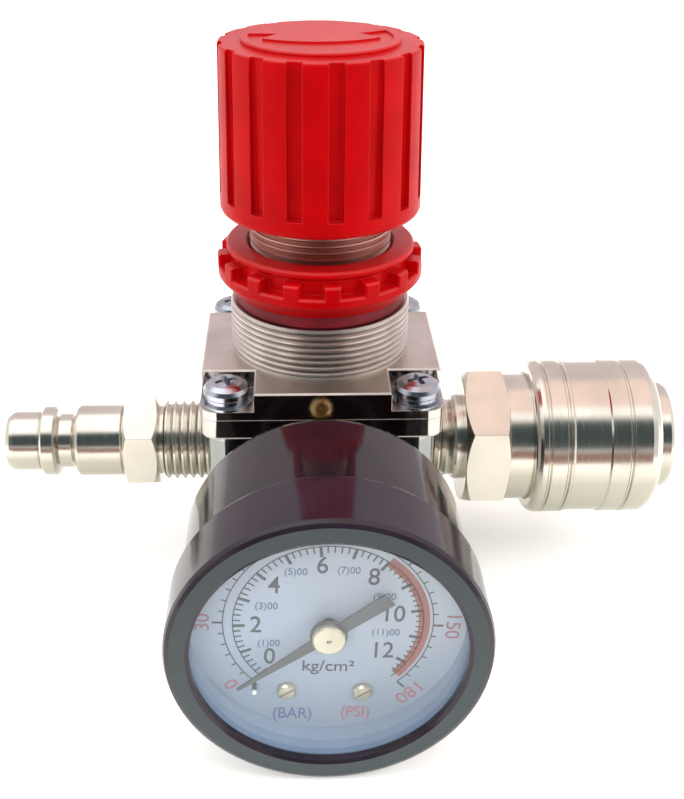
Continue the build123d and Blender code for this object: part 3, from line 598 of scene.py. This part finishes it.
def text_mesh(name, text, size, radius, angle, upright=True, width=1.0, weight=0.0):
    """Printed figures centred at a place on the dial; upright ones stand, others follow the arc."""
    curve = bpy.data.curves.new(name, "FONT")
    curve.body = text
    curve.size = size * MM
    curve.align_x = "CENTER"
    curve.align_y = "CENTER"
    curve.extrude = PRINT_THICK / 2
    curve.offset = weight * size * MM
    curve.resolution_u = 6
    holder = bpy.data.objects.new(name + "_outline", curve)
    bpy.context.collection.objects.link(holder)
    bpy.context.view_layer.update()
    mesh = bpy.data.meshes.new_from_object(holder.evaluated_get(
        bpy.context.evaluated_depsgraph_get()))
    bpy.data.objects.remove(holder)
    lean = math.radians(DIAL_TURN if upright else angle + DIAL_TURN - 90)
    spot = on_dial(radius, angle, PRINT_LIFT + PRINT_THICK / 2)
    stand = Matrix.Rotation(math.radians(90), 4, "X")
    turn = Matrix.Rotation(-lean, 4, "Y")
    narrow = Matrix.Diagonal((width, 1, 1, 1))
    mesh.transform(Matrix.Translation(spot) @ turn @ stand @ narrow)
    return mesh


def join_meshes(name, meshes):
    """One mesh from several."""
    work = bmesh.new()
    for mesh in meshes:
        work.from_mesh(mesh)
    joined = bpy.data.meshes.new(name)
    work.to_mesh(joined)
    work.free()
    return joined


def make_dial_print():
    """Scales, band and figures on the dial."""
    def add(name, mesh, finish):
        add_piece(name, mesh, finish, "housing")

    add("dial_scales", mesh_of("dial_scales", print_scales), dark_ink)
    add("dial_band", mesh_of("dial_band", print_band), band_ink)
    kilo_figures = []
    for figure in range(0, 13, 2):
        radius = 9.55 if figure < 10 else 8.65
        angle = kilo_angle(figure) - (8.0 if figure == 0 else 0.0)
        kilo_figures.append(text_mesh(
            f"kilo_{figure}", str(figure), 3.8, radius, angle, width=0.86, weight=0.006))
    add("dial_kilo_figures", join_meshes("dial_kilo_figures", kilo_figures), dark_ink)
    kilopascal_figures = [
        text_mesh(f"kilopascal_{figure}", f"({figure})00", 1.55, radius, kilo_angle(figure),
                  width=0.92, weight=0.004)
        for figure, radius in ((1, 8.5), (3, 8.7), (5, 9.6), (7, 9.1), (9, 8.5), (11, 7.8))
    ]
    add("dial_kilopascal_figures", join_meshes("dial_kilopascal_figures", kilopascal_figures),
        blue_ink)
    psi_figures = []
    for figure in (0, 30, 60, 90, 120, 150, 180):
        angle = psi_angle(figure) - (5.0 if figure == 0 else 0.0)
        psi_figures.append(text_mesh(
            f"psi_{figure}", str(figure), 2.8, 16.5, angle, upright=False, width=1.08, weight=0.003))
    add("dial_psi_figures", join_meshes("dial_psi_figures", psi_figures), red_ink)
    below = -90.0 - DIAL_TURN
    add("dial_unit", text_mesh("dial_unit", "kg/cm²", 2.65, 7.3, below, weight=0.006), dark_ink)
    for name, text, across, finish in (("dial_bar_unit", "(BAR)", -4.9, blue_ink),
                                       ("dial_psi_unit", "(PSI)", 3.8, red_ink)):
        down = -15.7
        radius = math.hypot(across, down)
        angle = math.degrees(math.atan2(down, across)) - DIAL_TURN
        add(name, text_mesh(name, text, 2.75, radius, angle, width=0.82, weight=0.008), finish)


# ---------------------------------------------------------------- studio
def make_floor():
    """Pale floor; it ends a little in front of the object, below the view."""
    low = cad_low.z - 0.2 * MM
    front, back, side = -0.11, 1.5, 1.5
    mesh = bpy.data.meshes.new("floor")
    corners = [(-side, front, low), (side, front, low), (side, back, low), (-side, back, low)]
    mesh.from_pydata(corners, [], [(0, 1, 2, 3)])
    floor = bpy.data.objects.new("floor", mesh)
    bpy.context.collection.objects.link(floor)
    material, graph, shader = new_material("floor")
    shader.inputs["Base Color"].default_value = rgba(0.95, 0.94, 0.91)
    shader.inputs["Roughness"].default_value = 0.8
    shader.inputs["Emission Color"].default_value = rgba(1.0, 1.0, 0.97)
    shader.inputs["Emission Strength"].default_value = 0.25
    mesh.materials.append(material)


def make_room():
    """White room with soft zones one above the other on the side where the photographer stands.

    Each zone's light starts between two angles, in degrees above the horizon in front.
    """
    world = bpy.data.worlds.new("room")
    bpy.context.scene.world = world
    world.use_nodes = True
    world.node_tree.nodes.clear()
    graph = Graph(world.node_tree)
    direction = graph.add("ShaderNodeTexCoord").outputs["Generated"]
    parts = graph.add("ShaderNodeSeparateXYZ")
    graph.feed(parts.inputs[0], direction)
    sideways, depth, height = parts.outputs
    towards = graph.math("MULTIPLY", depth, -1.0)
    angle = graph.math("ARCTAN2", height, towards)
    left_to_right = graph.spread(sideways, 0.0, 1.0, -0.22, 0.10)
    overhead = graph.blend(left_to_right, rgba(1.70, 1.75, 1.75), rgba(1.15, 0.92, 0.84))
    zones = (
        (-30, -17, rgba(0.34, 0.19, 0.15)),     # brown table edge
        (1, 6, rgba(0.75, 0.76, 0.76)),         # thin light line
        (7, 11, rgba(0.055, 0.080, 0.085)),     # dark side of the room
        (50, 60, rgba(1.45, 1.42, 1.42)),       # edge of the soft box
        (68, 76, overhead),
        (116, 126, rgba(0.80, 0.70, 0.72)),     # rear part of the ceiling
    )
    colour = rgba(0.86, 0.87, 0.80)
    for start, end, zone in zones:
        share = graph.spread(angle, 0.0, 1.0, math.radians(start), math.radians(end))
        colour = graph.blend(share, colour, zone)
    flat = graph.math("SQRT", graph.math("SUBTRACT", 1.0, graph.math("POWER", sideways, 2.0)))
    facing = graph.spread(flat, 0.0, 1.0, 0.55, 0.85)
    colour = graph.blend(facing, rgba(0.95, 0.94, 0.93), colour)
    seen = graph.add("ShaderNodeLightPath").outputs["Is Camera Ray"]
    colour = graph.blend(seen, colour, rgba(1.0, 1.0, 1.0))
    background = graph.add("ShaderNodeBackground", Strength=1.0)
    graph.feed(background.inputs["Color"], colour)
    output = graph.add("ShaderNodeOutputWorld")
    graph.feed(output.inputs["Surface"], background.outputs[0])


def make_lamp(name, place, aim, size, power):
    """Soft square lamp."""
    data = bpy.data.lights.new(name, "AREA")
    data.size = size
    data.energy = power
    lamp = bpy.data.objects.new(name, data)
    bpy.context.collection.objects.link(lamp)
    lamp.location = place
    lamp.rotation_mode = "QUATERNION"
    lamp.rotation_quaternion = (Vector(aim) - Vector(place)).to_track_quat("-Z", "Y")
    lamp.visible_glossy = False


def make_studio():
    """Floor, room and lamps."""
    make_floor()
    make_room()
    middle = (cad_low + cad_high) / 2
    make_lamp("top_lamp", (0.05, 0.05, 0.75), middle, 0.6, 1.6)
    make_lamp("front_lamp", (-0.12, -0.62, 0.32), middle, 0.4, 2.0)
    make_lamp("right_lamp", (0.55, -0.25, 0.35), middle, 0.4, 2.2)
    make_lamp("left_lamp", (-0.60, -0.15, 0.35), middle, 0.4, 0.9)


# ---------------------------------------------------------------- build
bpy.context.scene.view_settings.view_transform = "Standard"
make_camera()
make_studio()
dress_nodes()
make_springs()
make_dial_print()
